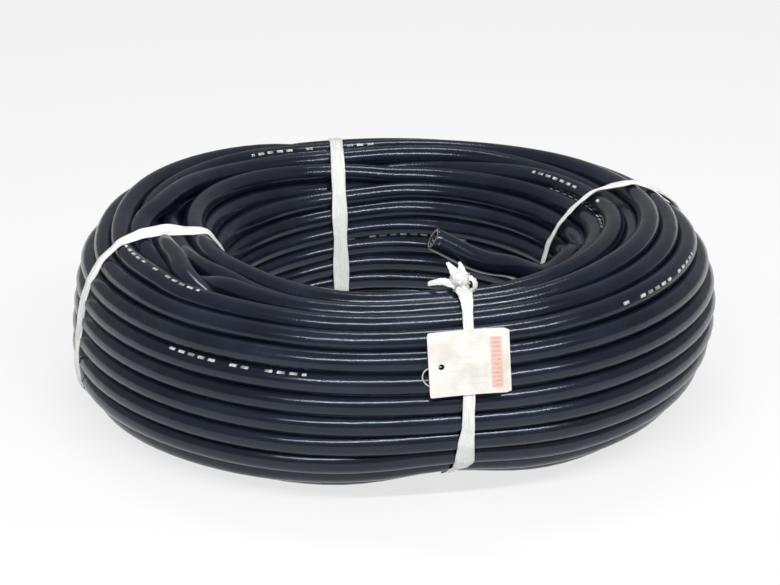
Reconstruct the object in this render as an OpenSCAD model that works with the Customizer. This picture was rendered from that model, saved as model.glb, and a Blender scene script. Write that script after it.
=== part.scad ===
// A coil of rubber air hose, bound with four ribbon ties, with a tag card on the front tie.
// Millimetres, +Z up. The coil lies flat, and its axis is the Z axis. The origin is on the floor
// below the middle of the eye. The front is at -Y.

/* [Hose] */
// Outer diameter of the hose
hose_od = 22; // [18:0.5:24]
// Bore of the hose
hose_bore = 12.5; // [9:0.5:13.5]
// How far a groove between two turns stays above the line through their centres
groove_floor = 4; // [3:0.5:7]

/* [Coil] */
// Diameter of the open eye in the middle of the coil
eye_d = 341; // [330:1:390]
// Turns lying on each other in each layer, from the eye outwards; each differs from the next by 0 or 1
layer_turns = [6, 7, 8, 8, 8, 8, 7, 6];

/* [Loose end] */
// Where the loose inner end leaves the coil, in degrees round the coil
end_az = -55; // [-60:1:-50]
// How steeply the end rises as it leaves
end_rise = 14; // [10:1:18]
// Bend radius of the free stretch
end_bend_r = 80; // [70:1:100]
// How far the free stretch bends
end_bend = 30; // [20:1:35]
// Side that the bend faces: 0 is flat towards the eye, 90 is straight up
end_bend_side = 38; // [20:1:60]
// Straight stretch up to the cut
end_straight = 34; // [25:1:45]

/* [Ties] */
// Width of the ribbon
ribbon_w = 14; // [10:0.5:16]
// Thickness of the folded ribbon
ribbon_t = 1; // [0.8:0.1:1.4]

/* [Tag] */
// Width of the tag card
tag_w = 73; // [60:1:80]
// Height of the tag card
tag_h = 62; // [50:1:70]
// Thickness of the tag card
tag_t = 0.8; // [0.5:0.1:1]
// Diameter of the punched hole
tag_hole = 5.5; // [4:0.5:7]

/* [Hidden] */
$fn = 96;

// A fit that lets two pieces touch by eye and stay clear in fact
clearance = 0.1;

// The turns nest: each layer lies in the hollows of the one before, half a turn up or down.
hose_r = hose_od / 2;
layer_pitch = hose_od * sqrt(3) / 2;
layers = len(layer_turns);
tallest_layer = 8;
middle_z = ribbon_t + clearance + (tallest_layer / 2 + 1 / 4) * hose_od;

function layer_r(i) = eye_d / 2 + hose_r + i * layer_pitch;
// Layers on the eye's side sit a quarter turn high and those outside a quarter turn low.
function layer_z(i) = middle_z + (i < 3 || i == 4 ? 1 : -1) * hose_od / 4;
function turn(i, k) = [layer_r(i), layer_z(i) + (k - (layer_turns[i] - 1) / 2) * hose_od];
function bottom_turn(i) = turn(i, 0);
function top_turn(i) = turn(i, layer_turns[i] - 1);

// Centres of the turns on the outside of the section, in order, clockwise from the eye's lowest
skin = concat(
    [for (k = [0:layer_turns[0] - 1]) turn(0, k)],
    [for (i = [1:layers - 2]) top_turn(i)],
    [for (k = [layer_turns[layers - 1] - 1:-1:0]) turn(layers - 1, k)],
    [for (i = [layers - 2:-1:1]) bottom_turn(i)]
);

// The turns that a taut ribbon bears on
bearing = [
    bottom_turn(0), top_turn(0), top_turn(2), top_turn(4),
    top_turn(layers - 1), bottom_turn(layers - 1), bottom_turn(5), bottom_turn(3)
];

function next(list, i) = list[(i + 1) % len(list)];
function previous(list, i) = list[(i + len(list) - 1) % len(list)];
function left_of(a, b) = [a.y - b.y, b.x - a.x] / norm(b - a);

// The section of the wound turns: the outside turns round, with a narrow floor in each groove
module wound_section() {
    polygon(skin);
    for (i = [0:len(skin) - 1]) {
        floor_side = left_of(skin[i], next(skin, i)) * groove_floor;
        polygon([skin[i] + floor_side, next(skin, i) + floor_side, next(skin, i), skin[i]]);
        translate(skin[i]) circle(hose_r);
    }
}

// The line of a ribbon drawn tight round a list of turns, at a reach from their centres
corner_step = 7.5;
function facing(a, b) = let (side = left_of(a, b)) atan2(side.y, side.x);
function taut_line(centres, reach) = [
    for (i = [0:len(centres) - 1])
        let (
            start = facing(previous(centres, i), centres[i]),
            sweep = (start - facing(centres[i], next(centres, i)) + 360) % 360,
            steps = round(sweep / corner_step)
        )
        for (s = [0:steps])
            centres[i] + reach * [cos(start - s * sweep / steps), sin(start - s * sweep / steps)]
];

// Sets its children on the coil's surface line where the loose end leaves it, heading along -Y
module at_end_start() {
    rotate([0, 0, end_az])
        translate([layer_r(0), 0, top_turn(0).y + hose_od])
            rotate([-end_rise, 0, 0])
                children();
}

// Sets its children at the start of the straight stretch, heading along +Z
module at_end_straight() {
    at_end_start()
        rotate([0, end_bend_side, 0])
            translate([-end_bend_r, 0, 0])
                rotate([0, 0, -end_bend])
                    translate([end_bend_r, 0, 0])
                        rotate([90, 0, 0])
                            children();
}

// The bend of the loose end, for the hose or its bore. Each run is a hair thinner than the one
// before and reaches a hair into it, so that the runs fuse.
hair = 0.02;
hair_angle = 0.1;
past_cut = 1;
module end_bend_run(r) {
    at_end_start()
        rotate([0, end_bend_side, 0])
            translate([-end_bend_r, 0, 0])
                rotate([0, 0, -end_bend])
                    rotate_extrude(angle = end_bend + hair_angle)
                        translate([end_bend_r, 0]) circle(r);
}

// The stretch before the bend, which comes up out of the wound turns along the eye
sink_angle = 32;
module end_sinking_turn() {
    at_end_start()
        translate([-layer_r(0), 0, 0])
            rotate_extrude(angle = sink_angle)
                translate([layer_r(0), 0]) circle(hose_r);
}

// All the wound turns as one turned solid, with the inner end of the hose coming off it
module hose_coil() {
    color("#202329")
    difference() {
        union() {
            rotate_extrude() wound_section();
            end_sinking_turn();
            end_bend_run(hose_r - hair);
            at_end_straight() translate([0, 0, -hair]) cylinder(h = end_straight + hair, r = hose_r - 2 * hair);
        }
        end_bend_run(hose_bore / 2 - hair);
        at_end_straight() translate([0, 0, -hair]) cylinder(h = end_straight + past_cut, d = hose_bore);
    }
}

// A closed loop of ribbon drawn tight round the section, through a place on the coil's top,
// in the upright plane of that heading
module strap(place, heading) {
    inner_r = hose_r + clearance;
    reach = 130;
    intersection() {
        rotate_extrude() difference() {
            polygon(taut_line(bearing, inner_r + ribbon_t));
            polygon(taut_line(bearing, inner_r));
        }
        translate([place.x, place.y, middle_z]) rotate([0, 0, heading])
            cube([2 * reach, ribbon_w, 2 * reach], center = true);
    }
}

// One tail of the knot: a tapering strip of ribbon from its root to a cut point
module tail(length, root_w, tip_w) {
    linear_extrude(ribbon_t)
        polygon([[0, -root_w / 2], [length, -tip_w / 2], [length - tip_w / 2, tip_w / 2], [0, root_w / 2]]);
}

// The knot on the front tie: two crossed wraps, a small eye and three tails
knot_place = [63, -234];
wrap_r = 3.6;
wrap_thick = 2.5;
wrap_spread = 2.3;
wrap_lean = 20;
small_eye_r = 4.5;
small_eye_band = [2, 7];
tail_root_w = 7;
tails = [
    // place on the knot, turn, length, width at the tip
    [[-2, 0, 7], [60, 5, 180], 28, 3],
    [[-4, 2, 6], [75, -62, 150], 22, 2],
    [[1, 2, 6], [80, -80, 60], 22, 2]
];
module knot() {
    translate([knot_place.x, knot_place.y, top_turn(4).y + hose_r + clearance]) {
        for (side = [-1, 1])
            translate([side * wrap_spread, 0, wrap_r + wrap_thick + clearance])
                rotate([0, 90, side * wrap_lean])
                    rotate_extrude() translate([wrap_r, 0]) circle(wrap_thick);
        translate([7, 0, 8])
            rotate([90, 0, 8])
                rotate_extrude() translate([small_eye_r, 0]) square(small_eye_band, center = true);
        for (t = tails)
            translate(t[0]) rotate(t[1]) tail(t[2], tail_root_w, t[3]);
    }
}

module tie_front() {
    color("#eef0ea") union() {
        strap([67, -250], -89);
        knot();
    }
}

module tie_left() {
    color("#eef0ea") strap([-244, -63], 200);
}

module tie_back() {
    color("#eef0ea") strap([-56, 196], 93);
}

module tie_right() {
    color("#eef0ea") strap([217, 54], 12.5);
}

// The card hangs flat against the outer turns, over the front tie.
tag_az = -78.3;
tag_z = 151;
tag_lean = 2.4;
tag_back_r = layer_r(layers - 1) + hose_r + ribbon_t + 4 * clearance;
hole_place = [-25, -2];

// Sets its children in the card's own frame: X to the right, Y up, Z out of its front
module at_tag() {
    rotate([0, 0, tag_az])
        translate([tag_back_r, 0, tag_z])
            rotate([90, 0, 90])
                rotate([0, 0, tag_lean])
                    children();
}

module tag_card() {
    corner_r = 2;
    color("#f4f3ee") at_tag() linear_extrude(tag_t) difference() {
        union() {
            square([tag_w - 2 * corner_r, tag_h], center = true);
            square([tag_w, tag_h - 2 * corner_r], center = true);
            for (x = [-1, 1], y = [-1, 1])
                translate([x * (tag_w / 2 - corner_r), y * (tag_h / 2 - corner_r)]) circle(corner_r);
        }
        translate(hole_place) circle(d = tag_hole);
    }
}

// The string's route in the card's frame: from the tie, behind the card, out in a loop past its
// left edge, back behind it and into the hole
string_d = 1.2;
string_sides = 8;
string_route = [
    [-8, -18, -0.9], [-18, -21, -0.9], [-28, -22, -0.9], [-35, -20.5, -0.9], [-40, -16.5, -0.5], [-42.5, -11, 0.2],
    [-41.5, -6, -0.2], [-38, -3, -0.8], [-33, -2, -0.9], [-28.5, -2, -0.9], [-26, -2, -0.5], [-25, -2, 0.4]
];
string_steps = 3;

// A smooth curve through the route's points
function route_point(i) = string_route[max(0, min(len(string_route) - 1, i))];
function blend(a, b, c, d, t) =
    (2 * b + (c - a) * t + (2 * a - 5 * b + 4 * c - d) * t * t + (3 * b - a - 3 * c + d) * t * t * t) / 2;
string_line = concat(
    [for (i = [0:len(string_route) - 2], s = [0:string_steps - 1])
        blend(route_point(i - 1), route_point(i), route_point(i + 1), route_point(i + 2), s / string_steps)],
    [route_point(len(string_route) - 1)]
);

function unit(v) = v / norm(v);
function heading_at(line, i) = unit(line[min(i + 1, len(line) - 1)] - line[max(i - 1, 0)]);
function square_to(v, axis) = unit(v - (v * axis) * axis);

// A tube of rings swept along a line, each ring turned as little as can be from the one before
module tube(line, d, sides, first_side) {
    count = len(line);
    across = [
        for (i = 0, v = square_to(first_side, heading_at(line, 0)); i < count;
             i = i + 1, v = square_to(v, heading_at(line, min(i, count - 1)))) v
    ];
    points = [
        for (i = [0:count - 1], s = [0:sides - 1])
            let (a = 360 * s / sides, other = cross(heading_at(line, i), across[i]))
                line[i] + d / 2 * (cos(a) * across[i] + sin(a) * other)
    ];
    walls = [
        for (i = [0:count - 2], s = [0:sides - 1])
            let (a = i * sides + s, b = i * sides + (s + 1) % sides)
                [a, a + sides, b + sides, b]
    ];
    ends = [[for (s = [0:sides - 1]) s], [for (s = [sides - 1:-1:0]) (count - 1) * sides + s]];
    polyhedron(points, concat(walls, ends));
}

module tag_string() {
    color("#dfe8da") at_tag() tube(string_line, string_d, string_sides, [0, 0, 1]);
}

hose_coil();
tie_front();
tie_left();
tie_back();
tie_right();
tag_card();
tag_string();
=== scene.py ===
# %% [markdown]
# # A coil of rubber air hose
# This file dresses one stock part: about 90 m of black rubber air hose, wound into a ring and
# bound with four ribbons of white plastic, with a card tag on the front ribbon. The packed
# model is the fixed frame: each piece below is made in its place, in metres, with +Z up and
# the front towards -Y.

# %% Load the frame
import math

import bpy
import numpy as np
from mathutils import Matrix, Vector


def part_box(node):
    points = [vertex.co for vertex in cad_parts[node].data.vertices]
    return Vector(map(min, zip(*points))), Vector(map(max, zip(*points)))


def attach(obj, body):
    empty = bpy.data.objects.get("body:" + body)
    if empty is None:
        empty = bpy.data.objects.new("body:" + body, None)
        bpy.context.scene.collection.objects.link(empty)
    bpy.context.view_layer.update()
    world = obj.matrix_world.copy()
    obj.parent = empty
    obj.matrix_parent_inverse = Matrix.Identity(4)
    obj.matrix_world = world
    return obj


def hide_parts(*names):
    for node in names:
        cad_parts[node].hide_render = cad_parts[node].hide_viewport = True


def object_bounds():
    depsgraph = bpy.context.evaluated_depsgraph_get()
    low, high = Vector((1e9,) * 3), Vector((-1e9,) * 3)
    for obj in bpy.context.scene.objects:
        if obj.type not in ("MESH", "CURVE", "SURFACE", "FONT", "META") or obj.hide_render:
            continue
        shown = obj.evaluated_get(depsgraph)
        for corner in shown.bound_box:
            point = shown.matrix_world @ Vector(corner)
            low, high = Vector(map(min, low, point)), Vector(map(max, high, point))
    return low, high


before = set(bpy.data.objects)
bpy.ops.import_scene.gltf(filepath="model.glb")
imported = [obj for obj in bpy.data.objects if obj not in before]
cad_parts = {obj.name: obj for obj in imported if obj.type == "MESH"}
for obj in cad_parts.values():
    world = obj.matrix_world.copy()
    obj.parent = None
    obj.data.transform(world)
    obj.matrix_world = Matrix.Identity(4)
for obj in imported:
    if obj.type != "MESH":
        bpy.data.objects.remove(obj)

CAD_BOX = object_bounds()
print("nodes", sorted(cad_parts))
print("box of the packed model", [[round(v, 4) for v in corner] for corner in CAD_BOX])

# %% [markdown]
# ## The camera
# A ring that lies on the floor shows its eye only from above, and its side only from low down.
# At 20 degrees both are seen. The camera is 2.5 m away with a long lens, so the front of the
# ring isn't blown up against the back. It is turned a fraction of a degree about its own axis.

# %% The camera
def middle(node):
    """The middle of a node's box"""
    low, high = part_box(node)
    return (low + high) / 2


def placed(name, data):
    """A new object, linked into the scene"""
    item = bpy.data.objects.new(name, data)
    scene.collection.objects.link(item)
    return item


scene = bpy.context.scene
CAMERA_DISTANCE = 2.5
CAMERA_ELEVATION = math.radians(20.25)
CAMERA_LENS = 113.5
CAMERA_SHIFT = (-0.0017, 0.0024)
CAMERA_ROLL = math.radians(-0.66)
LOOK_AT = Vector((0, 0, middle("tie_left").z - 0.001))

camera = placed("camera", bpy.data.cameras.new("camera"))
toward = Vector((0, -math.cos(CAMERA_ELEVATION), math.sin(CAMERA_ELEVATION)))
camera.location = LOOK_AT + CAMERA_DISTANCE * toward
aim = (LOOK_AT - camera.location).to_track_quat("-Z", "Y").to_matrix()
camera.rotation_euler = (aim @ Matrix.Rotation(CAMERA_ROLL, 3, "Z")).to_euler()
view = camera.data
view.lens, view.sensor_width, view.clip_end = CAMERA_LENS, 36, 120
view.shift_x, view.shift_y = CAMERA_SHIFT
scene.camera = camera
scene.view_settings.view_transform = "Standard"
print("camera at", [round(v, 3) for v in camera.location])

# %% [markdown]
# ## Shader sums
# A finish is a web of nodes. Written as sums, it is easier to read: one class wraps a socket,
# and each sign between two values adds a Math node. Any other node comes from one method.

# %% A value in a finish
def sign(operation):
    """A sign or a function on values, as one Math node"""
    return lambda value, *others: value.math(operation, value, *others)


class Value:
    """An output socket that can be used in sums"""

    def __init__(self, finish, socket):
        self.finish, self.socket = finish, socket

    def math(self, operation, *terms):
        return self.finish.add("ShaderNodeMath", {"operation": operation}, dict(enumerate(terms)))

    def __rsub__(self, other):
        return self.math("SUBTRACT", other, self)

    __add__ = __radd__ = sign("ADD")
    __mul__ = __rmul__ = sign("MULTIPLY")
    __sub__, __truediv__ = sign("SUBTRACT"), sign("DIVIDE")
    __lt__, __gt__, __abs__ = sign("LESS_THAN"), sign("GREATER_THAN"), sign("ABSOLUTE")
    wave, fraction, whole = sign("SINE"), sign("FRACT"), sign("FLOOR")

    def spread(self, low, high):
        """0 at low and below, 1 at high and above"""
        return self.finish.add("ShaderNodeMapRange",
                               {"clamp": True, "interpolation_type": "SMOOTHSTEP"},
                               {"Value": self, "From Min": low, "From Max": high})


# %% A finish
class Finish:
    """A material with one Principled shader, and a method that adds any other node"""

    def __init__(self, name):
        self.material = bpy.data.materials.new(name)
        self.material.use_nodes = True
        self.tree = self.material.node_tree
        self.shader = self.tree.nodes["Principled BSDF"]

    def add(self, kind, settings=None, inputs=None, output=0):
        node = self.tree.nodes.new(kind)
        for name, value in (settings or {}).items():
            setattr(node, name, value)
        for name, value in (inputs or {}).items():
            self.feed(node.inputs[name], value)
        return Value(self, node.outputs[output])

    def feed(self, socket, value):
        if isinstance(value, Value):
            self.tree.links.new(value.socket, socket)
        elif hasattr(value, "__len__") and len(socket.default_value) == 4 and len(value) == 3:
            socket.default_value = (*value, 1)
        else:
            socket.default_value = value

    def set(self, **values):
        for name, value in values.items():
            self.feed(self.shader.inputs[name.replace("_", " ")], value)

    def blend(self, share, first, second):
        """A colour between two colours"""
        return self.add("ShaderNodeMix", {"data_type": "RGBA"}, {0: share, 6: first, 7: second}, 2)

    def noise(self, place, scale, detail=2.0, rough=0.5):
        return self.add("ShaderNodeTexNoise", None,
                        {"Vector": place, "Scale": scale, "Detail": detail, "Roughness": rough})

    def parts_of(self, vector):
        node = self.add("ShaderNodeSeparateXYZ", None, {"Vector": vector})
        return [Value(self, out) for out in node.socket.node.outputs]

    def coordinates(self, name):
        """The two numbers of a UV map, and a zero"""
        return self.parts_of(self.add("ShaderNodeUVMap", {"uv_map": name}))

    def vector(self, x, y, z=0.0):
        return self.add("ShaderNodeCombineXYZ", None, {0: x, 1: y, 2: z})

    def chance(self, x, y):
        """A random number for each whole x and y"""
        return self.add("ShaderNodeTexWhiteNoise", {"noise_dimensions": "2D"},
                        {"Vector": self.vector(x.whole(), y.whole())})

    def relief(self, height, depth):
        """Lets the surface look raised by height, times depth in metres"""
        bump = self.add("ShaderNodeBump", None,
                        {"Strength": 1.0, "Distance": depth, "Height": height})
        self.set(Normal=bump)


# %% [markdown]
# ## Floor, light and background
# The coil is nearly black, so it shows its turns only through the light that glances off them.
# One long, thin lamp above the front gives each turn a thin bright line, a small one above the
# back lights the far side, and a plain low world fills the rest. The floor is a matt sheet. It
# glows a little wherever it is seen, straight, mirrored or through something, so that it reads
# as white and still keeps the shadow.

# %% Floor and world
def mesh_piece(name, points, faces, maps=None, finish=None, smooth=True):
    """A mesh object; maps holds one list of (u, v) per face corner for each UV map's name"""
    mesh = bpy.data.meshes.new(name)
    mesh.from_pydata([tuple(p) for p in points], [], [tuple(int(i) for i in f) for f in faces])
    for map_name, corners in (maps or {}).items():
        layer = mesh.uv_layers.new(name=map_name)
        layer.data.foreach_set("uv", np.asarray(corners, np.float32).ravel())
    mesh.polygons.foreach_set("use_smooth", [smooth] * len(mesh.polygons))
    if finish:
        mesh.materials.append(finish.material)
    return placed(name, mesh)


FLOOR_GREY = (0.80, 0.80, 0.80)
FLOOR_HALF = 30.0
FLOOR_GAP = 0.0005
GLOW_SHARE = 0.75
sheet = Finish("pale_floor")
sheet.set(Base_Color=FLOOR_GREY, Roughness=0.9)
seen = sheet.add("ShaderNodeLightPath")
for other in ("Is Glossy Ray", "Is Transmission Ray"):
    seen = seen.math("MAXIMUM", seen, sheet.add("ShaderNodeLightPath", None, None, other))
glow = sheet.add("ShaderNodeEmission", None, {"Color": (1, 1, 1), "Strength": 1.0})
matt = Value(sheet, sheet.shader.outputs[0])
both = sheet.add("ShaderNodeMixShader", None, {0: seen * GLOW_SHARE, 1: matt, 2: glow})
sheet.feed(sheet.tree.nodes["Material Output"].inputs["Surface"], both)
floor_z = CAD_BOX[0].z - FLOOR_GAP
floor_corners = [(x * FLOOR_HALF, y * FLOOR_HALF, floor_z)
                 for x, y in ((-1, -1), (1, -1), (1, 1), (-1, 1))]
floor = mesh_piece("floor", floor_corners, [(0, 1, 2, 3)], finish=sheet, smooth=False)

world = bpy.data.worlds.new("studio")
scene.world = world
world.use_nodes = True
WORLD_LIGHT = 0.30
sky = world.node_tree.nodes["Background"].inputs
sky["Color"].default_value, sky["Strength"].default_value = (1, 1, 1, 1), WORLD_LIGHT
print("world light", WORLD_LIGHT)

# %% Lamps
def lamp(name, place, aim_at, width, height, power):
    """A rectangular lamp aimed at a place, in metres and watts"""
    light = bpy.data.lights.new(name, "AREA")
    light.shape, light.size, light.size_y, light.energy = "RECTANGLE", width, height, power
    holder = placed(name, light)
    holder.location = place
    holder.rotation_euler = (Vector(aim_at) - Vector(place)).to_track_quat("-Z", "Y").to_euler()


lamp("key", (0.2, -1.7, 2.0), (0, -0.2, 0.1), 4.0, 0.12, 78)
lamp("top", (0.1, 0.9, 2.4), (0, 0, 0.1), 1.2, 0.3, 17)

# %% [markdown]
# ## The winding
# The hose is one piece, wound from the eye outwards. A layer of turns is laid on top of each
# other, then the next layer round it, each turn in the hollow between two turns of the layer
# before. So the section is a list of slots, and the hose goes through them in order, with one
# short step per turn from its slot to the next one.

# %% Slots of the section
HOSE_OD = 0.022
HOSE_R = HOSE_OD / 2
BORE_R = 0.00625
EYE_R = 0.1705
RIBBON_T = 0.0011
LAYER_TURNS = (6, 7, 8, 8, 8, 8, 7, 6)
LAYER_LIFT = (1, 1, 1, -1, 1, -1, -1, -1)
LAYER_PITCH = HOSE_OD * math.sqrt(3) / 2
MID_Z = RIBBON_T + 4.25 * HOSE_OD
MID_R = EYE_R + HOSE_R + 3.5 * LAYER_PITCH


def slot_place(layer, level):
    """Radius and height of a turn's centre"""
    raised = LAYER_LIFT[layer] * HOSE_OD / 4
    height = MID_Z + raised + (level - (LAYER_TURNS[layer] - 1) / 2) * HOSE_OD
    return EYE_R + HOSE_R + layer * LAYER_PITCH, height


slots = []
for layer, count in enumerate(LAYER_TURNS):
    levels = range(count) if layer % 2 else range(count - 1, -1, -1)
    slots += [(*slot_place(layer, level), layer) for level in levels]

slots.append(slots[-1])
slots = np.array(slots)
TURNS = 57.47
STATIONS = 96
START_AZ = math.radians(-55)
WOUND = int(round(TURNS * STATIONS))
azimuth = START_AZ + 2 * math.pi * np.arange(STATIONS) / STATIONS
print(len(slots) - 1, "turns in", len(LAYER_TURNS), "layers")

# %% [markdown]
# A hand-wound ring isn't even. Each turn wanders a few millimetres, and where it steps to the
# next slot it climbs over its neighbour. The ring as a whole leans and sags a little, and is
# drawn in where a ribbon holds it. All of that is smooth, so sums of waves give it.

# %% Steps and wander
WINDING_SEED = 7
rng = np.random.default_rng(WINDING_SEED)
STEP_HALF = 0.10
STEP_JITTER = 0.03
STEP_ORDER = (3, 6, 1, 4, 7, 2, 5, 0)
FIRST_STEP, STEP_ROOM = 0.08, 0.84
WANDER = 0.0025
WAVES_PER_TURN = (0.35, 2.6)
step_at = np.array([FIRST_STEP + STEP_HALF + (STEP_ROOM - 2 * STEP_HALF) * order / 7
                    for order in STEP_ORDER])


def smooth(x):
    x = np.clip(x, 0, 1)
    return x * x * (3 - 2 * x)


def laid_path():
    """Radius and height of each turn at each station, slot by slot"""
    share = np.arange(STATIONS) / STATIONS
    path = np.zeros((len(slots) - 1, STATIONS, 2))
    for turn in range(len(path)):
        centre = step_at[int(slots[turn, 2])] + rng.uniform(-STEP_JITTER, STEP_JITTER)
        step = smooth((share - centre + STEP_HALF) / (2 * STEP_HALF))
        path[turn] = slots[turn, :2] + step[:, None] * (slots[turn + 1, :2] - slots[turn, :2])
    return path


def wander(shape, size, waves=6):
    """A slow sideways drift that runs on from turn to turn"""
    along = np.arange(shape[0] * shape[1]) / shape[1]
    drift = np.zeros((len(along), 2))
    for side in range(2):
        for _ in range(waves):
            rate, start = rng.uniform(*WAVES_PER_TURN), rng.uniform()
            wave = np.sin(2 * math.pi * (rate * along + start))
            drift[:, side] += wave * rng.normal() / math.sqrt(waves)
    return (drift * size).reshape(*shape, 2)


laid = laid_path()
laid += wander(laid.shape[:2], WANDER)
print("laid", laid.shape)

# %% The bundle's own shape
TIES = ("tie_front", "tie_left", "tie_back", "tie_right")
tie_az = {name: math.atan2(middle(name).y, middle(name).x) for name in TIES}
TIE_REACH = math.radians(20)
SLOT_HALF_R = 3.5 * LAYER_PITCH + HOSE_R
SLOT_HALF_Z = 4.25 * HOSE_OD
# each: mean, then how much more at the right, at the back, at both sides, on the slant
MIDDLE_R = (0.243, -0.0005, -0.004, 0.0025, -0.008)
HALF_R = (0.078, 0.001, -0.0005)
HALF_Z = (0.092, 0.001, 0.0015, 0.0035, -0.0015)
LEAN = (0.035, 0.10, 0.13, -0.07, -0.04)
POWER = (2.4, -0.4, -0.15)
FRONT_AZ = math.radians(-80)
FRONT_REACH = math.radians(14)
FRONT_DRAWN = 0.006
FRONT_LIFT = 0.018
TIE_DRAWN = 0.002


def round_ring(az, mean, right=0.0, back=0.0, oval=0.0, skew=0.0):
    """A value that changes smoothly round the ring"""
    return (mean + right * np.cos(az) + back * np.sin(az)
            + oval * np.cos(2 * az) + skew * np.sin(2 * az))


def near(az, place, reach=TIE_REACH):
    """1 at a place round the ring, 0 well away from it"""
    apart = (az - place + math.pi) % (2 * math.pi) - math.pi
    return np.exp(-(apart / reach) ** 2)


def bundle(az):
    """The bundle's middle radius, half width, half height, lean, bottom and squareness"""
    at_ties = sum(near(az, place) for place in tie_az.values())
    in_front = near(az, FRONT_AZ, FRONT_REACH)
    middle_r = round_ring(az, *MIDDLE_R)
    half_r = round_ring(az, *HALF_R) - TIE_DRAWN * at_ties
    half_z = round_ring(az, *HALF_Z) - FRONT_DRAWN * in_front - TIE_DRAWN * at_ties
    bottom = RIBBON_T + FRONT_LIFT * in_front
    return middle_r, half_r, half_z, round_ring(az, *LEAN), bottom, round_ring(az, *POWER)


def into_bundle(path, az, share):
    """Moves a path of (radius, height) from the even section into the bundle's shape, by share"""
    middle_r, half_r, half_z, lean, bottom, _ = bundle(az)
    up = (path[..., 1] - MID_Z) / SLOT_HALF_Z * half_z
    r = middle_r + (path[..., 0] - MID_R) * half_r / SLOT_HALF_R + lean * up
    z = bottom + half_z + up
    return np.stack([path[..., 0] + share * (r - path[..., 0]),
                     path[..., 1] + share * (z - path[..., 1])], -1)


# %% [markdown]
# The first turn comes down from the loose end above it. It dives a little deeper than its slot,
# stays free of the bundle's pressure for a short run and is tied down after that.

# %% The loose end's start
END_RISE = math.radians(14)
END_SINK = 2 * HOSE_OD / math.tan(END_RISE)
END_DIVE = 0.018
DIVE_IN, DIVE_OUT = 0.07, 0.25
FREE_RUN, TIED_BY = 0.12, 0.2
first_r, first_z = slots[0, :2]
along = np.arange(len(laid) * STATIONS).reshape(laid.shape[:2]) / STATIONS * 2 * math.pi * first_r
sink = np.clip(1 - along / END_SINK, 0, 1)
dive = END_DIVE * smooth(along / DIVE_IN) * (1 - smooth((along - FREE_RUN) / DIVE_OUT))
start_path = np.stack([np.full(along.shape, first_r), first_z + HOSE_OD * sink ** 2 - dive], -1)
tied_down = smooth(along / TIED_BY)[..., None]
laid = start_path * (1 - tied_down) + laid * tied_down
laid[0, :, 1] += (HOSE_OD * sink ** 2 * tied_down[..., 0])[0]
laid = into_bundle(laid, azimuth[None], tied_down[..., 0])
print("loose end leaves at height", round(float(laid[0, 0, 1]), 4))

# %% [markdown]
# The steps and the wander push some turns into each other. Real turns can't do that, so the
# path is settled: in each of many rounds, turns that are too close move apart, the hose's
# stiffness keeps each turn smooth, the ties pull in what stands outside the bundle's outline,
# and nothing goes below the floor. The coil is bound so tight that turns stay pressed into
# each other a little.

# %% Settling the turns
CONTACT = 0.0213
HOLD, STIFF, PUSH, PULL = 0.01, 0.9, 0.35, 0.5
ROUNDS = 120


def settle(path):
    """The path with its turns pushed clear of each other"""
    now = path.copy()
    alive = (np.arange(now.shape[0] * STATIONS) < WOUND).reshape(now.shape[:2])
    both_alive = alive[:, None] & alive[None]
    both_alive[range(len(now)), range(len(now))] = False
    fixed = along < FREE_RUN
    middle_r, half_r, half_z, lean, bottom, power = bundle(azimuth)
    for _ in range(ROUNDS):
        now += HOLD * (path - now)
        body = now.reshape(-1, 2)[:WOUND]
        body[1:-1] += STIFF * ((body[:-2] + body[2:]) / 2 - body[1:-1])
        apart = now[:, None] - now[None]
        gap = np.sqrt((apart ** 2).sum(-1)) + 1e-9
        push = np.clip(CONTACT - gap, 0, None) * both_alive
        now += PUSH * (apart / gap[..., None] * push[..., None]).sum(1)
        up = now[..., 1] - bottom - half_z
        across = now[..., 0] - middle_r - lean * up
        outside = ((np.abs(across) / (half_r - HOSE_R)) ** power
                   + (np.abs(up) / (half_z - HOSE_R)) ** power) ** (1 / power)
        pull = PULL * (1 - 1 / np.maximum(outside, 1))
        now[..., 0] -= pull * across
        now[..., 1] -= pull * up
        now[..., 1] = np.maximum(now[..., 1], HOSE_R + RIBBON_T)
        now[fixed] = path[fixed]
    closest = np.where(both_alive, gap, 1).min()
    print("turns settled, closest centres", round(float(closest) * 1000, 1), "mm")
    return now


settled = settle(laid).reshape(-1, 2)[:WOUND]
wound_az = START_AZ + 2 * math.pi * np.arange(WOUND) / STATIONS
wound_line = np.stack([settled[:, 0] * np.cos(wound_az), settled[:, 0] * np.sin(wound_az),
                       settled[:, 1]], -1)
print("radius and height from", settled.min(0).round(4), "to", settled.max(0).round(4))

# %% [markdown]
# The inner end of the hose stands free over the eye. It rises off the ring, bends towards the
# eye and ends in a short straight stretch, so its line is an arc and a straight, laid in front
# of the wound line.

# %% The loose end
def level_way(az):
    """The level direction at an angle round the upright axis"""
    return np.array([math.cos(az), math.sin(az), 0])


def length_along(line):
    """The length of a line up to each of its points"""
    return np.concatenate([[0], np.cumsum(np.linalg.norm(np.diff(line, axis=0), axis=1))])


END_BEND_R = 0.080
END_BEND = math.radians(30)
END_SIDE = math.radians(38)
END_STRAIGHT = 0.034


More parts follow.
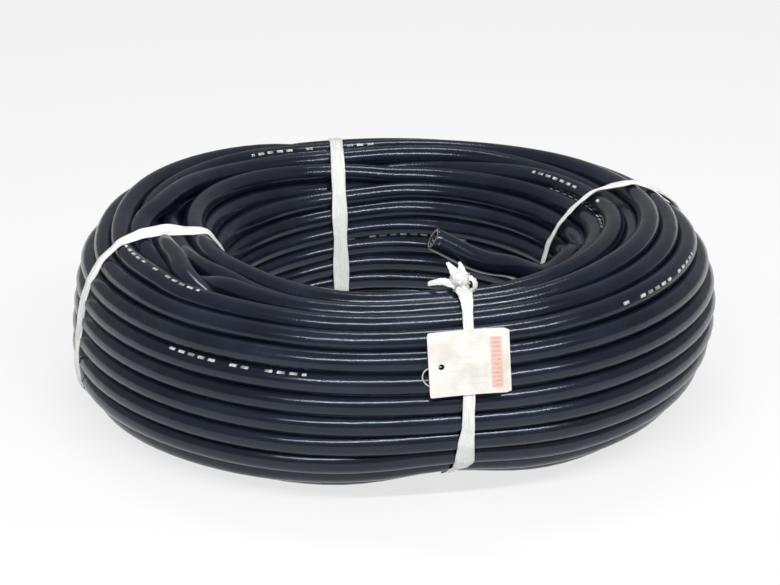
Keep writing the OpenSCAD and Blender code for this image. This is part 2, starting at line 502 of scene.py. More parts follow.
def loose_line():
    """Points from the cut face to where the end joins the ring"""
    outward = level_way(START_AZ)
    place = first_r * outward + [0, 0, first_z + HOSE_OD]
    onward = np.array([math.sin(START_AZ), -math.cos(START_AZ), 0])
    inward = -outward
    heading = math.cos(END_RISE) * onward + math.sin(END_RISE) * np.array([0, 0, 1])
    over = np.cross(inward, heading)
    over *= np.sign(over[2])
    side = math.cos(END_SIDE) * inward + math.sin(END_SIDE) * over
    arc = [place + END_BEND_R * (math.sin(b) * heading + (1 - math.cos(b)) * side)
           for b in np.linspace(0, END_BEND, 14)]
    last = math.cos(END_BEND) * heading + math.sin(END_BEND) * side
    straight = [arc[-1] + last * d for d in np.linspace(0, END_STRAIGHT, 8)[1:]]
    return np.array((arc + straight)[::-1])


loose = loose_line()
hose_line = np.vstack([loose[:-1], wound_line])
hose_length = length_along(hose_line)
print("hose", round(hose_length[-1], 2), "m long,", len(hose_line), "stations")

# %% [markdown]
# ## The printed line
# Air hose carries a line of print along one side. Lettering is left off this part: short pale
# dashes stand for it, in groups. Two numbers per station place them: the side of the hose that
# the line is on, which turns slowly as the hose twists, and the print's phase, which passes one
# whole number at each group and counts metres near it. Some groups are set where they show. The
# others lie on the side that looks into the bundle, or at random on the back.

# %% Where the print shows
SHOWN_PRINT = [
    # azimuth, radius and height near a group, and the side it faces: 0 out, 90 up, 180 in
    (-148, 0.263, 0.164, 80),
    (-117.5, 0.300, 0.118, 55),
    (110, 0.257, 0.170, 128),
    (84, 0.174, 0.108, -147),
    (24, 0.218, 0.170, 135),
    (12, 0.204, 0.160, 68),
    (-33.5, 0.300, 0.160, 25),
]
PRINT_PERIOD = 2.0
PRINT_APART = 0.9
GROUP_REACH = 0.09
BACK_Y = 0.1


def station_near(az, r, z):
    """The station on the turn that passes nearest to a place"""
    first = int(round((az - START_AZ) % (2 * math.pi) / (2 * math.pi) * STATIONS))
    turn_stations = np.arange(first, WOUND, STATIONS)
    away = np.hypot(settled[turn_stations, 0] - r, settled[turn_stations, 1] - z)
    return int(turn_stations[away.argmin()])


keys = sorted((len(loose) - 1 + station_near(math.radians(az), r, z), math.radians(side))
              for az, r, z, side in SHOWN_PRINT)
key_lengths = [hose_length[i] for i, _ in keys]
for spot in np.arange(1.0, hose_length[-1], PRINT_PERIOD):
    if all(abs(spot - k) > PRINT_APART for k in key_lengths):
        station = int(np.searchsorted(hose_length, spot))
        x, y, _ = hose_line[station]
        outer = math.hypot(x, y) > MID_R
        at_back = outer and y > BACK_Y
        keys.append((station, rng.uniform(-math.pi, math.pi) if at_back else math.pi * outer))
keys.sort()
key_at = np.array([hose_length[i] for i, _ in keys])
key_side = np.unwrap([side for _, side in keys])
print_side = np.interp(hose_length, key_at, key_side)
group_ends = np.array([-GROUP_REACH, GROUP_REACH])
print_phase = np.interp(hose_length, (key_at[:, None] + group_ends).ravel(),
                        (np.arange(len(keys))[:, None] + group_ends).ravel())
print(len(keys), "groups of print")

# %% [markdown]
# ## The hose's skin
# The tube is a ring of 16 points at each station. Two UV maps go with it: one in metres along
# and round the hose, for the rubber, and one with the print's phase. At both ends the wall is
# cut square, with the textile layer showing as a pale ring, and the bore goes on inside. There
# the run along the hose is replaced by minus the radius, which tells a cut from the outside.

# %% Frames along the hose
SIDES = 16


def unit(vectors, guard=0.0):
    """Vectors made one long; a tiny guard spares those of no length"""
    return vectors / (np.linalg.norm(vectors, axis=1)[:, None] + guard)


def square_to(heading, vectors, guard=0.0):
    """What of the vectors is square to the heading, made one long"""
    return unit(vectors - (vectors * heading).sum(1)[:, None] * heading, guard)


def frames(line):
    """Heading, outward and upward directions at each point of a line round the ring"""
    heading = unit(np.gradient(line, axis=0))
    out = square_to(heading, unit(line * [1, 1, 0]))
    return heading, out, np.cross(out, heading)


hose_heading, hose_out, hose_up = frames(hose_line)


def ring_points(i, radius, slide=0.0):
    """The points round the hose's line at a station"""
    angle = print_side[i] + 2 * math.pi * (np.arange(SIDES) / SIDES - 0.5)
    around = np.cos(angle)[:, None] * hose_out[i] + np.sin(angle)[:, None] * hose_up[i]
    return hose_line[i] + hose_heading[i] * slide + radius * around


def band_faces(first, second, sides=SIDES):
    """Faces between two rings of points, given each ring's first index"""
    j = np.arange(sides)
    k = (j + 1) % sides
    return np.stack([first + j, second + j, second + k, first + k], -1)


# %% The hose mesh
CHAMFER = 0.0004
CUT_RADII = (0.0095, 0.0086, 0.0077)
BORE_STATIONS = 20
NO_PRINT = 0.5
rings, run, phase = [], [], []


def add_ring(i, radius, along, print_at=NO_PRINT, slide=0.0):
    """One more ring of points, with its place along the hose and its print phase"""
    rings.append(ring_points(i, radius, slide))
    run.append(along)
    phase.append(print_at)


last = len(hose_line) - 1
for radius in CUT_RADII[::-1]:
    add_ring(0, radius, -radius)
add_ring(0, HOSE_R - CHAMFER, -HOSE_R)
add_ring(0, HOSE_R, 0, slide=CHAMFER)
for i in range(1, last):
    add_ring(i, HOSE_R, hose_length[i], print_phase[i])
add_ring(last, HOSE_R, hose_length[last], slide=-CHAMFER)
add_ring(last, HOSE_R - CHAMFER, -HOSE_R)
for radius in CUT_RADII:
    add_ring(last, radius, -radius)
for i in range(last, last - BORE_STATIONS, -4):
    add_ring(i, BORE_R, -BORE_R)
outer_rings = len(rings)
for i in (0, 1, 4, 8, 12, 16, BORE_STATIONS):
    add_ring(i, BORE_R, -BORE_R)
points = np.vstack(rings)
print("rings of points", len(rings))

# %% The hose's faces
faces, corner_run, corner_phase = [], [], []


def join(a, b):
    """Adds the band between ring a and ring b, with its UV corners"""
    faces.append(band_faces(a * SIDES, b * SIDES))
    v0 = np.arange(SIDES) / SIDES
    v1 = v0 + 1 / SIDES
    for store, values in ((corner_run, run), (corner_phase, phase)):
        u0, u1 = np.full(SIDES, values[a]), np.full(SIDES, values[b])
        store.append(np.stack([u0, v0, u1, v0, u1, v1, u0, v1], -1).reshape(-1, 2))


for a in range(outer_rings - 1):
    join(a, a + 1)
join(outer_rings, 0)
for a in range(outer_rings, len(rings) - 1):
    join(a + 1, a)
faces = np.vstack(faces)
maps = {"run": np.vstack(corner_run), "print": np.vstack(corner_phase)}
print("hose faces", len(faces), "triangles", 2 * len(faces))

# %% [markdown]
# ## The rubber
# The cover is black with a blue cast, satin, and not quite smooth: the cloth that it was
# wrapped in while it cured left fine ribs, and the braid below shows through as a slow swell.
# These break up the bright line on each turn. Dust dulls it in patches.

# %% The rubber
rubber = Finish("hose_rubber")
run_u, run_v, _ = rubber.coordinates("run")
turn_angle = run_v * (2 * math.pi)
skin_y = turn_angle.wave() * HOSE_R
skin_z = (turn_angle + math.pi / 2).wave() * HOSE_R
skin_place = rubber.vector(run_u, skin_y, skin_z)
patches = rubber.noise(skin_place, 14, 3)
grain = rubber.noise(skin_place, 420, 2)
COVER_DARK = (0.0042, 0.0058, 0.0125)
COVER_LIGHT = (0.009, 0.0125, 0.025)
cover = rubber.blend(patches.spread(0.35, 0.7), COVER_DARK, COVER_LIGHT)
DUST = (0.028, 0.034, 0.050)
dust = patches.spread(0.55, 0.8) * grain.spread(0.4, 0.7) * 0.5
cover = rubber.blend(dust, cover, DUST)
CLOTH_PITCH, CLOTH_STARTS = 0.0042, 3
cloth_run = run_u * (2 * math.pi / CLOTH_PITCH)
ribs = (cloth_run + turn_angle * CLOTH_STARTS).wave()
counter_ribs = (cloth_run - turn_angle * CLOTH_STARTS).wave()
swell = rubber.noise(skin_place, 55, 1)
print("rubber cloth pitch", CLOTH_PITCH)

# %% [markdown]
# The dashes are sums over the print map: cells along a group, a random pick of them, and a
# noise that wears them. Sums stay sharp from close by. A cut end shows black rubber with a pale
# ring of braid.

# %% Print dashes and cut faces
phase_u, phase_v, _ = rubber.coordinates("print")
group = phase_u + 0.5
in_group = group.fraction() - 0.5
DASH_PITCH, DASH_SHARE, DASHES_KEPT = 0.012, 0.62, 0.76
cell = in_group / DASH_PITCH
PRINT_HALF_WIDTH = 0.022
GROUP_HALF = 0.076
dashes = ((cell.fraction() < DASH_SHARE) * (abs(in_group) < GROUP_HALF)
          * (abs(phase_v - 0.5) < PRINT_HALF_WIDTH) * (rubber.chance(cell, group) < DASHES_KEPT))
speckle = rubber.noise(skin_place, 900, 2).spread(0.3, 0.5)
rubbed = rubber.noise(skin_place, 90, 1).spread(0.38, 0.6)
print_mask = dashes * (speckle * (0.35 + 0.65 * rubbed))
PRINT_COLOUR = (0.70, 0.72, 0.70)
cover = rubber.blend(print_mask, cover, PRINT_COLOUR)
CUT_RUN = -0.001
BRAID_FROM, BRAID_TO = 0.0082, 0.0090
CUT_BLACK, CUT_BRAID = (0.012, 0.012, 0.014), (0.32, 0.29, 0.24)
cut_radius = run_u * -1.0
braid = (cut_radius > BRAID_FROM) * (cut_radius < BRAID_TO) * grain.spread(0.3, 0.6)
cover = rubber.blend(run_u < CUT_RUN, cover, rubber.blend(braid, CUT_BLACK, CUT_BRAID))
print("print painted")

# %% The hose
SHEEN_TINT = (0.78, 0.87, 1.0)
SKIN_DEPTH = 0.00014
rubber.set(Base_Color=cover, Roughness=0.15 + patches * 0.08 + dust * 0.2 + print_mask * 0.3,
           Specular_IOR_Level=0.55, Specular_Tint=SHEEN_TINT)
cloth = (ribs + counter_ribs) * 0.04 * (1 - print_mask)
rubber.relief(cloth + swell * 3.0 + grain * 0.45, SKIN_DEPTH)
hose = mesh_piece("hose", points, faces, maps, rubber)
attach(hose, "root")
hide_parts("hose_coil")
print("hose", len(hose.data.polygons), "faces")

# %% [markdown]
# ## The ribbon ties
# Each tie is a strip of white plastic ribbon, pulled tight round the bundle. A tight strip runs
# straight from turn to turn and bends only where it bears on one, which is the outline a
# rubber band would take: the hull of the turns cut by the tie's upright plane. So the hose's
# line is cut by that plane, and the hull round the cuts is the ribbon's line. The cuts below
# both edges of the ribbon count too, so that no turn pokes out past an edge.

# %% Where a tie's plane cuts the turns
TIE_PLANES = {
    # a place on the tie's plane, and the plane's heading in degrees
    "tie_front": ((0.067, -0.250), -89),
    "tie_left": ((-0.244, -0.063), 200),
    "tie_back": ((-0.056, 0.196), 93),
    "tie_right": ((0.217, 0.054), 12.5),
}
TIE_SPAN = 0.13
RIBBON_GAP = 0.0003
RIBBON_EDGES = (-0.006, 0.0, 0.006)


def crossings(place, heading, aside):
    """Where the wound hose passes a tie's plane moved aside, as (way along the heading, height)"""
    ahead = level_way(math.radians(heading))[:2]
    away = (wound_line[:, :2] - place) @ np.array([-ahead[1], ahead[0]]) - aside
    along_plane = (wound_line[:, :2] - place) @ ahead
    i = np.nonzero((away[:-1] * away[1:] <= 0) & (np.abs(along_plane[:-1]) < TIE_SPAN))[0]
    share = away[i] / (away[i] - away[i + 1])
    spot = np.stack([along_plane, wound_line[:, 2]], -1)
    return spot[i] + share[:, None] * (spot[i + 1] - spot[i])


def hull_of(points):
    """The outline of a set of points, counter-clockwise"""
    points = sorted(map(tuple, points))
    halves = []
    for way in (points, points[::-1]):
        half = []
        for p in way:
            while len(half) > 1 and ((half[-1][0] - half[-2][0]) * (p[1] - half[-2][1])
                                     - (half[-1][1] - half[-2][1]) * (p[0] - half[-2][0])) <= 0:
                half.pop()
            half.append(p)
        halves += half[:-1]
    return np.array(halves)


def even_steps(loop):
    """The same closed line with points an even step apart"""
    line = np.vstack([loop, loop[:1]])
    reach = length_along(line)
    at = np.linspace(0, reach[-1], int(round(reach[-1] / RIBBON_STEP)) + 1)[:-1]
    return np.stack([np.interp(at, reach, line[:, k]) for k in range(line.shape[1])], -1)


def all_round(count):
    """Directions evenly all round, as (x, y)"""
    angle = np.linspace(0, 2 * math.pi, count, endpoint=False)
    return np.stack([np.cos(angle), np.sin(angle)], -1)


RIBBON_STEP = 0.0025
circle = all_round(40)
tie_lines = {}
for name, (place, heading) in TIE_PLANES.items():
    cuts = np.vstack([crossings(place, heading, aside) for aside in RIBBON_EDGES])
    outline = hull_of((cuts[:, None] + (HOSE_R + RIBBON_GAP) * circle[None]).reshape(-1, 2))
    tie_lines[name] = even_steps(outline)
    print(name, len(cuts) // len(RIBBON_EDGES), "turns,", len(tie_lines[name]), "steps")

# %% [markdown]
# The ribbon is thin, and was folded lengthwise and crumpled as it was pulled tight. Its section
# is a row of points across the width that zigzags over the fold, with a little thickness, and
# the folds wander as the section goes along. The width changes on the way: narrow where the
# ribbon is gathered at the knot, full where it lies free.

# %% A strip of ribbon
RIBBON_THICK = 0.0005
TINY = 1e-12
ACROSS = 9
across_at = np.linspace(-1, 1, ACROSS)


class Strips:
    """Gathers strips of ribbon into one mesh"""

    def __init__(self):
        self.points, self.faces, self.run, self.count = [], [], [], 0

    def add(self, line, outward, width, fold=0.0012, crumple=0.0005, twist=0.0, slide=0.0,
            closed=False, seed=1):
        """A strip along a line; outward is the way its face looks, slide its drift to one side"""
        n = len(line)
        around = np.roll(line, -1, 0) - np.roll(line, 1, 0)
        heading = unit(around if closed else np.gradient(line, axis=0), TINY)
        outward = square_to(heading, outward, TINY)
        side = np.cross(heading, outward)
        twist = np.broadcast_to(twist, n)[:, None]
        face = np.cos(twist) * outward + np.sin(twist) * side
        side = np.cross(heading, face)
        reach = length_along(line)
        width, fold, slide = (np.broadcast_to(v, n) for v in (width, fold, slide))
        draw = np.random.default_rng(seed)
        turns_round = reach[:, None] / reach[-1] * 2 * math.pi
        drift = [sum(np.sin(turns_round * draw.integers(2, 14) + draw.uniform(0, 6.3))
                     * draw.normal() for _ in range(5)) / 2.2 for _ in range(3)]
        crease = 0.15 * drift[0]
        profile = fold[:, None] * (1 - np.abs(across_at[None] - crease) * (1.5 + 0.3 * drift[1]))
        profile = np.abs(profile) * 0.9
        ripple = sum(draw.normal() * np.sin(turns_round * draw.integers(20, 60)
                                            + across_at[None] * draw.uniform(1, 6)
                                            + draw.uniform(0, 6.3)) for _ in range(6)) / 2.4
        profile = profile + crumple * (ripple - ripple.min()) * 0.35
        half = width[:, None] / 2 * (1 + 0.05 * drift[2])
        flat = line[:, None] + side[:, None] * (across_at[None] * half + slide[:, None])[..., None]
        top = flat + face[:, None] * (profile + RIBBON_THICK)[..., None]
        under = flat + face[:, None] * profile[..., None]
        self.skin(np.concatenate([top, under[:, ::-1]], 1), reach, width, closed)

    def skin(self, ring, reach, width, closed):
        """The faces round a strip, from its top and underside at each station"""
        n, m = ring.shape[:2]
        self.points.append(ring.reshape(-1, 3))
        v = np.concatenate([across_at, across_at[::-1]]) * 0.5
        v = v[None] * width[:, None]
        j = np.arange(m)
        k = (j + 1) % m
        for a in range(n if closed else n - 1):
            b = (a + 1) % n
            u0, u1 = reach[a], reach[b] if b else reach[-1] + RIBBON_STEP
            quads = np.stack([a * m + j, a * m + k, b * m + k, b * m + j], -1)
            self.faces.append(self.count + quads)
            corner_u = np.broadcast_to([u0, u0, u1, u1], (m, 4))
            corner_v = np.stack([v[a, j], v[a, k], v[b, k], v[b, j]], -1)
            self.run.append(np.stack([corner_u, corner_v], -1).reshape(-1, 2))
        if not closed:
            j = np.arange(ACROSS - 1)
            for a in (0, n - 1):
                quads = self.count + a * m + np.stack([j, j + 1, m - 2 - j, m - 1 - j], -1)
                self.faces.append(quads if a else quads[:, ::-1])
                self.run.append(np.zeros((len(j) * 4, 2)))
        self.count += n * m

    def build(self, name, finish):
        """The mesh of all strips so far"""
        return mesh_piece(name, np.vstack(self.points), np.vstack(self.faces),
                          {"run": np.vstack(self.run)}, finish)


def eased(keys, at):
    """A value that eases from key to key; keys are (place, value), repeating every 360"""
    keys = sorted(keys)
    places = [keys[-1][0] - 360] + [p for p, _ in keys] + [keys[0][0] + 360]
    values = [keys[-1][1]] + [v for _, v in keys] + [keys[0][1]]
    i = np.clip(np.searchsorted(places, at, side="right") - 1, 0, len(places) - 2)
    places, values = np.array(places, float), np.array(values, float)
    share = smooth((at - places[i]) / (places[i + 1] - places[i]))
    return values[i] + share * (values[i + 1] - values[i])


# %% [markdown]
# The ribbon is white film, split into fine strands along its length and crushed in places. Two
# noises, stretched along the strip, colour and raise it. The grey where the strands lie low is
# painted shade in the grooves between them, along with the film's own streaks.

# %% The ribbon's plastic
film = Finish("white_ribbon")
ribbon_u, ribbon_v, _ = film.coordinates("run")
strand_place = film.vector(ribbon_u * 30, ribbon_v * 2600)
strands = film.noise(strand_place, 1.0, 3, 0.6)
crush_place = film.vector(ribbon_u * 260, ribbon_v * 420)
crush = film.noise(crush_place, 1.0, 3, 0.55)
RIBBON_WHITE = (0.88, 0.89, 0.86)
RIBBON_GROOVE_SHADE = (0.66, 0.68, 0.65)
RIBBON_GRIME = (0.36, 0.35, 0.31)
# grey where the strands lie low: painted shade in the grooves, and the film's own streaks
ribbon_tone_and_shade = film.blend(strands.spread(0.35, 0.62), RIBBON_GROOVE_SHADE, RIBBON_WHITE)
ribbon_tone_and_shade = film.blend(crush.spread(0.62, 0.78) * 0.5, ribbon_tone_and_shade, RIBBON_GRIME)
film.set(Base_Color=ribbon_tone_and_shade, Roughness=0.34 + strands * 0.2)
film.relief(strands * 0.6 + crush * 1.4, 0.0005)
print("ribbon finish made")

# %% [markdown]
# The widths are given by where the ribbon is on its loop: 0 degrees faces outwards from the
# eye, 90 is the top of the bundle, 180 the eye and 270 the underside.

# %% The four ties
PRESSED_BELOW = [(-50, 1.0), (-75, 0.1), (-105, 0.1), (-130, 1.0)]
RIBBON_SHAPE = {
    # width, height of the fold, turn of the face and drift to one side, in millimetres and
    # degrees, each by place on the loop
    "tie_front": (
        [(118, 7), (104, 10), (89, 15), (82, 13), (75, 11.5), (66, 9.5), (50, 9), (20, 10),
         (5, 11), (-10, 12), (-23, 14.5), (-36, 17.5), (-45, 15), (-53, 7), (-64, 6), (-85, 12),
         (180, 12)],
        [(90, 2.6), (40, 2.2), (0, 1.2), (-30, 0.9), (-45, 2.0), (-65, 1.4), (-80, 0.2),
         (-105, 0.2), (-130, 1.0), (180, 1.2)],
        [(0, 0)],
        [(125, 0), (104, -1.5), (89, -0.5), (76, 1.3), (60, 1.1), (40, 0.8), (20, 0.5),
         (-8, -0.4), (-23, -2.4), (-36, -3.2), (-45, -6.5), (-53, -15), (-64, -20), (-80, -18),
         (-120, 0)]),
    "tie_left": (
        [(150, 9), (125, 11), (105, 13), (85, 13), (60, 10), (30, 7.5), (0, 7), (-30, 6),
         (-90, 10), (180, 8)],
        [(150, 2.2), (120, 3.4), (85, 4.0), (60, 3.0), (0, 2.6), (180, 2.0)] + PRESSED_BELOW,
        [(150, 0), (110, 25), (60, 20), (0, 50), (-50, 0), (180, 0)],
        [(0, 0)]),
    "tie_back": (
        [(130, 15), (90, 14), (40, 14), (-90, 14), (200, 16)],
        [(130, 1.2), (90, 1.4), (200, 1.3)] + PRESSED_BELOW,
        [(0, 0)],
        [(0, 0)]),
    "tie_right": (
        [(190, 11), (150, 13), (125, 15), (95, 14), (70, 14), (40, 12), (20, 10), (-90, 12)],
        [(180, 2.4), (150, 3.6), (120, 4.0), (80, 3.8), (60, 3.0), (20, 1.6)] + PRESSED_BELOW,
        [(180, 0), (120, 20), (80, 0), (40, 15), (0, 0)],
        [(0, 0)]),
}
RIBBON_SEED = 20
ribbons, loops = {}, {}
for order, name in enumerate(TIES):
    place, heading = TIE_PLANES[name]
    ahead = level_way(math.radians(heading))
    flat_line = tie_lines[name]
    centre = (flat_line.min(0) + flat_line.max(0)) / 2
    loop = np.array([*place, 0]) + flat_line[:, :1] * ahead + flat_line[:, 1:] * [0, 0, 1]
    tangent = np.roll(flat_line, -1, 0) - np.roll(flat_line, 1, 0)
    normal = np.stack([tangent[:, 1], -tangent[:, 0]], -1)
    normal = sum(np.roll(normal, k, 0) for k in range(-2, 3))
    outward = normal[:, :1] * ahead + normal[:, 1:] * [0, 0, 1]
    at = np.degrees(np.arctan2(flat_line[:, 1] - centre[1], flat_line[:, 0] - centre[0])) % 360
    width, fold, turned, slide = (eased([(p % 360, v) for p, v in keys], at)
                                  for keys in RIBBON_SHAPE[name])
    ribbons[name], loops[name] = Strips(), loop
    ribbons[name].add(loop, outward, width / 1000, fold / 1000, twist=np.radians(turned),
                      slide=slide / 1000, closed=True, seed=RIBBON_SEED + order)
print("ribbon loops made")

# %% [markdown]
# The front ribbon ends in a knot: a small crumpled ball, one short loop to the right, and three
# cut tails. Each is a strip along its own little curve, given in millimetres to the right, up
# a slope that leans back by 20 degrees and out from that slope, from the knot's place.

# %% The knot
KNOT_TILT = math.radians(20)
KNOT_RIGHT = np.array([1.0, 0, 0])
KNOT_UP = np.array([0, math.sin(KNOT_TILT), math.cos(KNOT_TILT)])
KNOT_FRONT = np.array([0, -math.cos(KNOT_TILT), math.sin(KNOT_TILT)])
KNOT_WAYS = (KNOT_RIGHT, KNOT_UP, KNOT_FRONT)
KNOT_OFF = (-2.5, 7.0, 3.5)
shoulder = loops["tie_front"][(loops["tie_front"] @ KNOT_UP).argmax()]
knot_at = shoulder + sum(off / 1000 * way for off, way in zip(KNOT_OFF, KNOT_WAYS))


def at_knot(spots):
    """Places in the knot's frame, given in millimetres"""
    spots = np.asarray(spots, float) / 1000
    return knot_at + spots[:, :1] * KNOT_RIGHT + spots[:, 1:2] * KNOT_UP + spots[:, 2:] * KNOT_FRONT


def curve_through(spots, steps=8):
    """A smooth curve through points, straight on at its ends"""
    spots = np.asarray(spots, float)
    spots = np.vstack([2 * spots[0] - spots[1], spots, 2 * spots[-1] - spots[-2]])
    t = np.linspace(0, 1, steps, endpoint=False)[:, None]
    runs = [(2 * b + (c - a) * t + (2 * a - 5 * b + 4 * c - d) * t ** 2
             + (3 * b - a - 3 * c + d) * t ** 3) / 2
            for a, b, c, d in zip(spots, spots[1:], spots[2:], spots[3:])]
    return np.vstack([*runs, spots[-2:-1]])


KNOT_TAILS = (
    # points of the strip, width at the root and at the tip, turn of its face at both
    (((-1, -7, 5), (-8, -4.5, 8), (-16, -2.5, 8.5), (-23, -3.2, 6.5), (-29.5, -4.6, 4)),
     (9.0, 5.0), (10, 40)),
    (((-3, 2, 6), (-6, 7, 8), (-9, 11, 7), (-12, 15, 4)), (11.0, 3.0), (10, 25)),
    (((0.5, 2, 6), (1.2, 7, 8), (0.8, 11, 6), (0, 15.5, 3)), (11.0, 2.5), (0, -25)),
)
TAIL_SEED, RING_SEED = 40, 60
knot = ribbons["tie_front"]
for order, (spots, (root, tip), (turn_root, turn_tip)) in enumerate(KNOT_TAILS):
    line = at_knot(curve_through(spots))
    share = np.linspace(0, 1, len(line))
    knot.add(line, np.broadcast_to(KNOT_FRONT, line.shape), (root + (tip - root) * share) / 1000,
             crumple=0.0006, twist=np.radians(turn_root + (turn_tip - turn_root) * share),
             seed=TAIL_SEED + order)
KNOT_RINGS = (
    # middle, radius, both directions of the ring's plane, width, how far its face looks out
    ((-0.5, 0.5, 3.5), 7.6, (KNOT_RIGHT, KNOT_FRONT), 10.5, 0.0),
    ((-1.5, 0.5, 3.5), 8.3, (KNOT_RIGHT * 0.8 + KNOT_UP * 0.6, KNOT_FRONT), 9.0, 0.0),
    ((0.5, -1.0, 3.0), 7.8, (KNOT_RIGHT * 0.7 - KNOT_UP * 0.7, KNOT_FRONT), 9.0, 0.0),
    ((0.5, -7.0, 2.5), 6.4, (KNOT_RIGHT, KNOT_FRONT), 9.0, 0.0),
    ((7.5, -5.0, 6.0), 5.4, (KNOT_RIGHT, KNOT_UP), 5.0, 1.6),
)
for order, (middle_at, ring_r, (first, second), width, frontwards) in enumerate(KNOT_RINGS):
    ring = all_round(28)
    spokes = ring[:, :1] * first + ring[:, 1:] * second
    line = at_knot([middle_at]) + ring_r / 1000 * spokes
    knot.add(line, spokes + frontwards * KNOT_FRONT, width / 1000, fold=0.0014, crumple=0.0008,
             closed=True, seed=RING_SEED + order)
print("knot tied from", len(KNOT_TAILS) + len(KNOT_RINGS), "strips")

# %% The ribbons' meshes
for name in TIES:
    ribbon = ribbons[name].build(name + "_ribbon", film)
    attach(ribbon, "root")
    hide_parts(name)
    print(name, len(ribbon.data.polygons), "faces")

# %% [markdown]
# ## The tag
# The tag is a small white card with rounded corners and a punched hole. A card that has hung in
# a store isn't flat: it bows a little and one corner lifts. It bears on the front ribbon and
# faces a little more to the front than its place on the ring. Its faces are laid out as spokes
# from the hole to the edge, which gives a round hole and an even skin to bend.

# %% The card's place
TAG_W, TAG_H, TAG_THICK = 0.073, 0.062, 0.0008
TAG_CORNER = 0.002
TAG_HOLE = (-0.025, -0.002)
TAG_HOLE_R = 0.00275
TAG_AZ = math.radians(-77.95)
TAG_FACING = math.radians(-85.5)
TAG_Z = 0.1467
TAG_LEAN = math.radians(2.6)
TAG_BACK_R = 0.3276
BOW_ACROSS, BOW_UP = 0.0016, 0.0006
CURL, CURL_FROM, CURL_OVER = 0.0014, 0.045, 0.02
tag_out = level_way(TAG_FACING)
tag_side = np.array([-math.sin(TAG_FACING), math.cos(TAG_FACING), 0])
upright = np.array([0, 0, 1.0])
tag_back = TAG_BACK_R * level_way(TAG_AZ) + TAG_Z * upright
tag_x = math.cos(TAG_LEAN) * tag_side + math.sin(TAG_LEAN) * upright
tag_y = -math.sin(TAG_LEAN) * tag_side + math.cos(TAG_LEAN) * upright


def at_tag(x, y, out):
    """A place in the card's own frame: right, up and out of its front, in metres"""
    x, y, out = x[..., None], y[..., None], out[..., None]
    return tag_back + x * tag_x + y * tag_y + out * tag_out


def card_bow(x, y):
    """How far the card stands off flat"""
    bow = BOW_ACROSS * (x / TAG_W * 2) ** 2 - BOW_UP * (y / TAG_H * 2) ** 2
    curl = CURL * np.clip((x + y - CURL_FROM) / CURL_OVER, 0, None) ** 2
    return bow + curl


# %% The card's mesh
SPOKES, STEPS_OUT = 120, 16
CORNER_AT = np.array([TAG_W, TAG_H]) / 2 - TAG_CORNER
ray = all_round(SPOKES)


def card_edge(direction):
    """How far the card's edge is from the hole, in a direction"""
    low, high = 0.0, 0.09
    for _ in range(30):
        half = (low + high) / 2
        p = np.abs(TAG_HOLE + half * direction) - CORNER_AT
        inside = np.hypot(*np.clip(p, 0, None)) + min(max(p), 0) < TAG_CORNER
        low, high = (half, high) if inside else (low, half)
    return low


reach = np.array([card_edge(d) for d in ray])
share = np.linspace(0, 1, STEPS_OUT) ** 0.9
far = TAG_HOLE_R + share[:, None] * (reach - TAG_HOLE_R)[None]
flat_x = TAG_HOLE[0] + far * ray[None, :, 0]
flat_y = TAG_HOLE[1] + far * ray[None, :, 1]
bow = card_bow(flat_x, flat_y)
back = at_tag(flat_x, flat_y, bow)
front = at_tag(flat_x, flat_y, bow + TAG_THICK)
layers = np.concatenate([front, back[::-1]])
xy = np.stack([flat_x, flat_y], -1)
xy = np.concatenate([xy, xy[::-1]])
rows = len(layers)
card_faces, card_uv = [], []
j = np.arange(SPOKES)
k = (j + 1) % SPOKES
for a in range(rows):
    b = (a + 1) % rows
    card_faces.append(band_faces(a * SPOKES, b * SPOKES, SPOKES))
    card_uv.append(np.stack([xy[a, j], xy[b, j], xy[b, k], xy[a, k]], 1).reshape(-1, 2))
print("card", sum(len(f) for f in card_faces), "faces")

# %% [markdown]
# The card is off-white and a little stained. A coral band with bars and faint marks on ruled
# lines stand for its print. They are sums over a map in metres, so each measure is real.

# %% The card's finish
board = Finish("tag_card")
card_x, card_y, _ = board.coordinates("card")
card_place = board.vector(card_x, card_y)
fibre = board.noise(card_place, 900, 3)
stain = board.noise(card_place, 45, 3)
CARD_WHITE, CARD_TINT = (0.80, 0.78, 0.74), (0.70, 0.66, 0.60)
paper = board.blend(stain.spread(0.42, 0.7), CARD_WHITE, CARD_TINT)
CORAL, PALE_CORAL, RULE_GREY = (0.62, 0.20, 0.13), (0.75, 0.42, 0.33), (0.30, 0.33, 0.40)
BAND_X, BAND_DOWN, BAND_HALF_W, BAND_HALF_H = 0.0245, 0.0015, 0.0052, 0.0245
from_band = abs(card_x - BAND_X)
in_band = (from_band < BAND_HALF_W) * (abs(card_y + BAND_DOWN) < BAND_HALF_H)
BAR_PITCH, BAR_SHARE, BAR_WIDTH = 0.0041, 0.62, 0.72
bars = ((card_y / BAR_PITCH).fraction() < BAR_SHARE) * (from_band < BAND_HALF_W * BAR_WIDTH)
ink = fibre.spread(0.3, 0.6)
paper = board.blend(in_band * (ink * 0.3 + 0.4), paper, PALE_CORAL)
paper = board.blend(in_band * bars * 0.5 * ink, paper, CORAL)
RULE_PITCH, RULE_SHARE, RULE_OFF, MARK_PITCH = 0.0065, 0.09, 0.001, 0.0021
RULE_HALF_W, RULE_HALF_H, MARKS_KEPT = 0.016, 0.0225, 0.55
rule_at = (card_y + RULE_OFF) / RULE_PITCH
rule = ((rule_at.fraction() < RULE_SHARE) * (abs(card_x + RULE_OFF) < RULE_HALF_W)
        * (abs(card_y) < RULE_HALF_H))
marks = board.chance(card_x / MARK_PITCH, rule_at) < MARKS_KEPT
paper = board.blend(rule * marks * ink * 0.3, paper, RULE_GREY)
board.set(Base_Color=paper, Roughness=0.38 + fibre * 0.15)
board.relief(fibre * 0.4 + stain * 1.5, 0.0002)
card = mesh_piece("card", layers.reshape(-1, 3), np.vstack(card_faces),
                  {"card": np.vstack(card_uv)}, board, smooth=False)
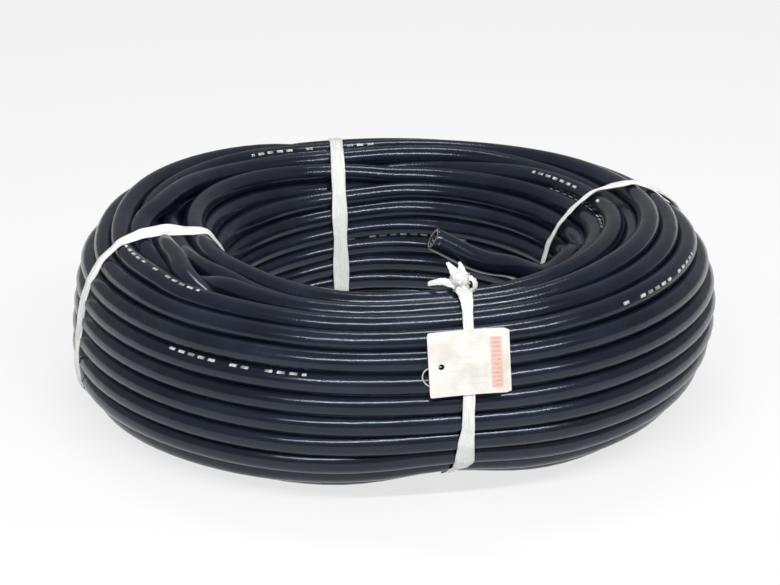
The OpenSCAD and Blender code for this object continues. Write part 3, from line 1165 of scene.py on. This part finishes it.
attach(card, "root")
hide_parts("tag_card")
print("card made")

# %% [markdown]
# ## The string
# A thin twisted string holds the card. It comes from the tie behind the card, shows as a loop
# past the card's left edge, goes back behind the card and ends in its hole. It is limp, and is
# drawn as a thin round tube along a curve through the points below.

# %% The string
STRING_D = 0.0012
STRING_ROUTE = (
    # right, up and frontwards from the middle of the card's back, in millimetres
    (-8, -18, -0.9), (-18, -21, -0.9), (-28, -22, -0.9), (-35, -20.5, -0.9), (-40, -16.5, -0.5),
    (-42.5, -11, 0.2), (-41.5, -6, -0.2), (-38, -3, -0.8), (-33, -2, -0.9), (-28.5, -2, -0.9),
    (-26, -2, -0.5), (-25, -2, 0.4),
)
route = curve_through(np.array(STRING_ROUTE) / 1000, steps=3)
off_flat = card_bow(route[:, 0], route[:, 1])
string_line = at_tag(route[:, 0], route[:, 1], route[:, 2] + off_flat)
curve = bpy.data.curves.new("tag_string", "CURVE")
curve.dimensions = "3D"
curve.bevel_depth = STRING_D / 2
curve.bevel_resolution = 3
spline = curve.splines.new("POLY")
spline.points.add(len(string_line) - 1)
for spot, place in zip(spline.points, string_line):
    spot.co = (*place, 1)

# %% [markdown]
# The string is twisted from green and pale strands. A slanted wave through its own space
# paints them, which is enough on so thin a thread.

# %% The string's finish
yarn = Finish("green_white_string")
object_place = yarn.add("ShaderNodeTexCoord", None, None, "Object")
place_x, place_y, place_z = yarn.parts_of(object_place)
STRAND_PITCH = 0.0011
strand = ((place_x + place_z - place_y) * (2 * math.pi / STRAND_PITCH)).wave()
fuzz = yarn.noise(object_place, 2500, 2)
STRING_GREEN, STRING_PALE = (0.42, 0.50, 0.42), (0.72, 0.78, 0.68)
pale = (strand * 0.5 + 0.5) * 0.6 + fuzz * 0.4
yarn.set(Base_Color=yarn.blend(pale, STRING_GREEN, STRING_PALE), Roughness=0.7 + fuzz * 0.2)
yarn.relief(strand + fuzz, 0.0002)
curve.materials.append(yarn.material)
string = placed("string", curve)
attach(string, "root")
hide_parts("tag_string")
print("string made")
